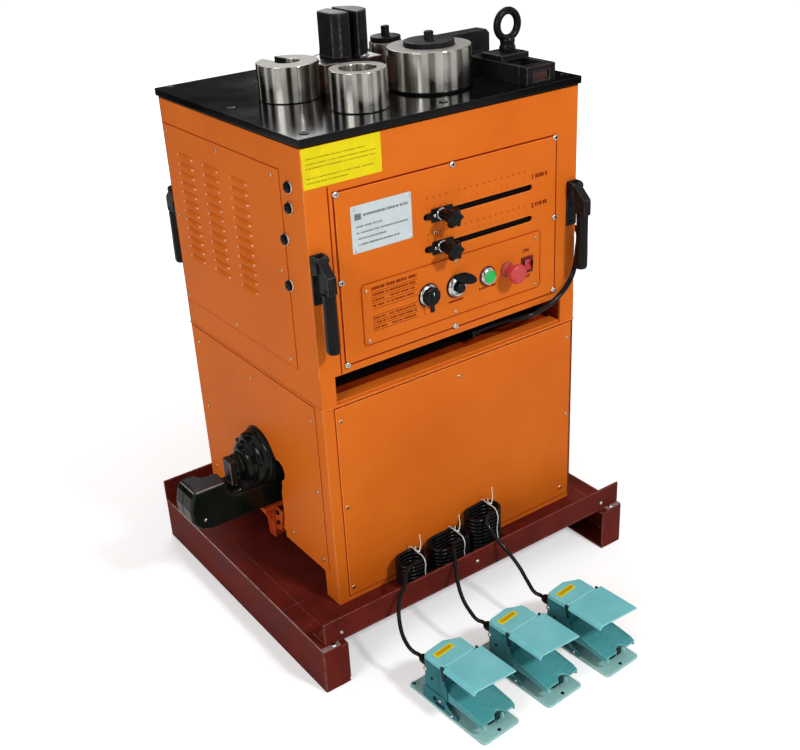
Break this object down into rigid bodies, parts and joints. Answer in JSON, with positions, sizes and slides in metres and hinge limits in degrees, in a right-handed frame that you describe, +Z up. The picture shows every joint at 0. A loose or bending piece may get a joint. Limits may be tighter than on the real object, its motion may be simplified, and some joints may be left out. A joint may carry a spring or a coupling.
{
  "type": "rebar bender cutter",
  "caption": "Floor-standing machine on a skid that bends reinforcing bar round rollers on its table and cuts it in a side jaw, worked by foot pedals on cords.",
  "frame": {"origin": "on the floor under the middle of the machine with its pedals, free cords left out", "axes": "+Z up, +X to the right seen from the control panel, +Y to the back"},
  "size_m": [0.77, 1.0482, 1.0423],
  "materials": {
    "orange_paint": "gloss powder coat",
    "skid_red": "satin primer paint",
    "black_paint": "gloss",
    "black_steel": "blackened, satin",
    "bright_steel": "turned bright",
    "black_plastic": "satin",
    "green_plastic": "gloss",
    "red_plastic": "gloss",
    "teal_paint": "semi-gloss",
    "motor_grey": "satin",
    "cord_black": "satin"
  },
  "bodies": {
    "machine": {"left_runner": "skid_red", "right_runner": "skid_red", "skid_deck": "skid_red", "lower_cabinet": "orange_paint", "lower_front_panel": "orange_paint", "lower_left_panel": "orange_paint", "upper_cabinet": "orange_paint", "upper_left_panel": "orange_paint", "control_panel": "orange_paint", "top_table": "black_paint", "bending_gearbox": "black_steel", "small_roller_pin": "black_steel", "big_roller_pin": "black_steel", "fence_bar": "black_steel", "stop_guide": "black_steel", "cutter_body": "black_steel", "fixed_blade": "bright_steel", "bending_motor": "motor_grey", "pump_motor": "motor_grey", "front_left_handle_bracket": "black_steel", "front_right_handle_bracket": "black_steel", "back_left_handle_bracket": "black_steel", "back_right_handle_bracket": "black_steel", "left_pedal_base": "teal_paint", "left_pedal_cord": "cord_black", "left_pedal_hank": "cord_black", "middle_pedal_base": "teal_paint", "middle_pedal_cord": "cord_black", "middle_pedal_hank": "cord_black", "right_pedal_base": "teal_paint", "right_pedal_cord": "cord_black", "right_pedal_hank": "cord_black", "mains_cord": "cord_black", "mains_coil": "cord_black", "mains_plug": "black_plastic"},
    "bending_head": {"bending_head": "black_steel"},
    "small_roller": {"small_roller": "bright_steel"},
    "big_roller": {"big_roller": "bright_steel"},
    "stop_slider": {"stop_slider": "black_steel"},
    "stop_eyebolt": {"stop_eyebolt": "black_steel"},
    "slotted_sleeve": {"slotted_sleeve": "bright_steel"},
    "ring_sleeve": {"ring_sleeve": "bright_steel"},
    "cutter_ram": {"cutter_ram": "black_steel", "moving_blade": "black_steel"},
    "front_left_handle": {"front_left_carry_handle": "black_plastic"},
    "front_right_handle": {"front_right_carry_handle": "black_plastic"},
    "back_left_handle": {"back_left_carry_handle": "black_plastic"},
    "back_right_handle": {"back_right_carry_handle": "black_plastic"},
    "upper_pointer": {"upper_pointer": "black_steel"},
    "upper_clamp": {"upper_clamp_knob": "black_plastic"},
    "lower_pointer": {"lower_pointer": "black_steel"},
    "lower_clamp": {"lower_clamp_knob": "black_plastic"},
    "selector": {"selector_knob": "black_plastic"},
    "lever": {"lever_switch": "black_plastic"},
    "start": {"start_button": "green_plastic"},
    "stop": {"stop_button": "red_plastic"},
    "rocker": {"rocker_switch": "red_plastic"},
    "left_treadle": {"left_pedal_treadle": "teal_paint"},
    "middle_treadle": {"middle_pedal_treadle": "teal_paint"},
    "right_treadle": {"right_pedal_treadle": "teal_paint"}
  },
  "joints": [
    {"name": "bend_turn", "type": "hinge", "parent": "machine", "child": "bending_head", "pos_m": [0.016, 0.16969, 0.967], "axis": [0, 0, 1], "range_deg": [0, 180]},
    {"name": "small_roller_spin", "type": "hinge", "parent": "machine", "child": "small_roller", "pos_m": [0.123, 0.18769, 0.947], "axis": [0, 0, 1], "continuous": true},
    {"name": "big_roller_spin", "type": "hinge", "parent": "machine", "child": "big_roller", "pos_m": [0.11, 0.04569, 0.947], "axis": [0, 0, 1], "continuous": true},
    {"name": "stop_slide", "type": "slide", "parent": "machine", "child": "stop_slider", "axis": [0, 1, 0], "range_m": [-0.045, 0.028]},
    {"name": "eyebolt_turn", "type": "hinge", "parent": "stop_slider", "child": "stop_eyebolt", "pos_m": [0.25, 0.01369, 0.967], "axis": [0, 0, 1], "continuous": true},
    {"name": "slotted_sleeve_lift", "type": "slide", "parent": "machine", "child": "slotted_sleeve", "axis": [0, 0, 1], "range_m": [0, 0.12]},
    {"name": "ring_sleeve_lift", "type": "slide", "parent": "machine", "child": "ring_sleeve", "axis": [0, 0, 1], "range_m": [0, 0.12]},
    {"name": "cutter_stroke", "type": "slide", "parent": "machine", "child": "cutter_ram", "axis": [-1, 0, 0], "range_m": [-0.014, 0.0105]},
    {"name": "front_left_handle_swing", "type": "hinge", "parent": "machine", "child": "front_left_handle", "pos_m": [-0.21, -0.09231, 0.734], "axis": [-1, 0, 0], "range_deg": [0, 90]},
    {"name": "front_right_handle_swing", "type": "hinge", "parent": "machine", "child": "front_right_handle", "pos_m": [0.313, -0.09231, 0.734], "axis": [-1, 0, 0], "range_deg": [0, 90]},
    {"name": "back_left_handle_swing", "type": "hinge", "parent": "machine", "child": "back_left_handle", "pos_m": [-0.21, 0.40269, 0.734], "axis": [1, 0, 0], "range_deg": [0, 90]},
    {"name": "back_right_handle_swing", "type": "hinge", "parent": "machine", "child": "back_right_handle", "pos_m": [0.313, 0.40269, 0.734], "axis": [1, 0, 0], "range_deg": [0, 90]},
    {"name": "upper_pointer_slide", "type": "slide", "parent": "machine", "child": "upper_pointer", "axis": [1, 0, 0], "range_m": [-0.02, 0.18]},
    {"name": "upper_clamp_turn", "type": "hinge", "parent": "upper_pointer", "child": "upper_clamp", "pos_m": [0.0275, -0.11431, 0.75], "axis": [0, -1, 0], "continuous": true},
    {"name": "lower_pointer_slide", "type": "slide", "parent": "machine", "child": "lower_pointer", "axis": [1, 0, 0], "range_m": [-0.02, 0.18]},
    {"name": "lower_clamp_turn", "type": "hinge", "parent": "lower_pointer", "child": "lower_clamp", "pos_m": [0.0275, -0.11431, 0.695], "axis": [0, -1, 0], "continuous": true},
    {"name": "selector_turn", "type": "hinge", "parent": "machine", "child": "selector", "pos_m": [-0.005, -0.09031, 0.6175], "axis": [0, -1, 0], "range_deg": [-45, 45]},
    {"name": "lever_turn", "type": "hinge", "parent": "machine", "child": "lever", "pos_m": [0.0515, -0.09031, 0.6175], "axis": [0, -1, 0], "range_deg": [-45, 45]},
    {"name": "start_press", "type": "slide", "parent": "machine", "child": "start", "axis": [0, 1, 0], "range_m": [0, 0.004], "stiffness_N_per_m": 300, "springref_m": -0.002},
    {"name": "stop_press", "type": "slide", "parent": "machine", "child": "stop", "axis": [0, 1, 0], "range_m": [0, 0.005], "stiffness_N_per_m": 400, "springref_m": -0.002},
    {"name": "rocker_tilt", "type": "hinge", "parent": "machine", "child": "rocker", "pos_m": [0.2103, -0.08031, 0.6175], "axis": [1, 0, 0], "range_deg": [-10, 10]},
    {"name": "left_treadle_press", "type": "hinge", "parent": "machine", "child": "left_treadle", "pos_m": [-0.14835, -0.3195, 0.024], "axis": [0.9981, 0.061, 0], "range_deg": [0, 8], "stiffness_Nm_per_rad": 2, "springref_deg": -8.59},
    {"name": "middle_treadle_press", "type": "hinge", "parent": "machine", "child": "middle_treadle", "pos_m": [-0.01285, -0.3225, 0.024], "axis": [0.9981, 0.061, 0], "range_deg": [0, 8], "stiffness_Nm_per_rad": 2, "springref_deg": -8.59},
    {"name": "right_treadle_press", "type": "hinge", "parent": "machine", "child": "right_treadle", "pos_m": [0.11315, -0.3315, 0.024], "axis": [0.9981, 0.061, 0], "range_deg": [0, 8], "stiffness_Nm_per_rad": 2, "springref_deg": -8.59}
  ]
}
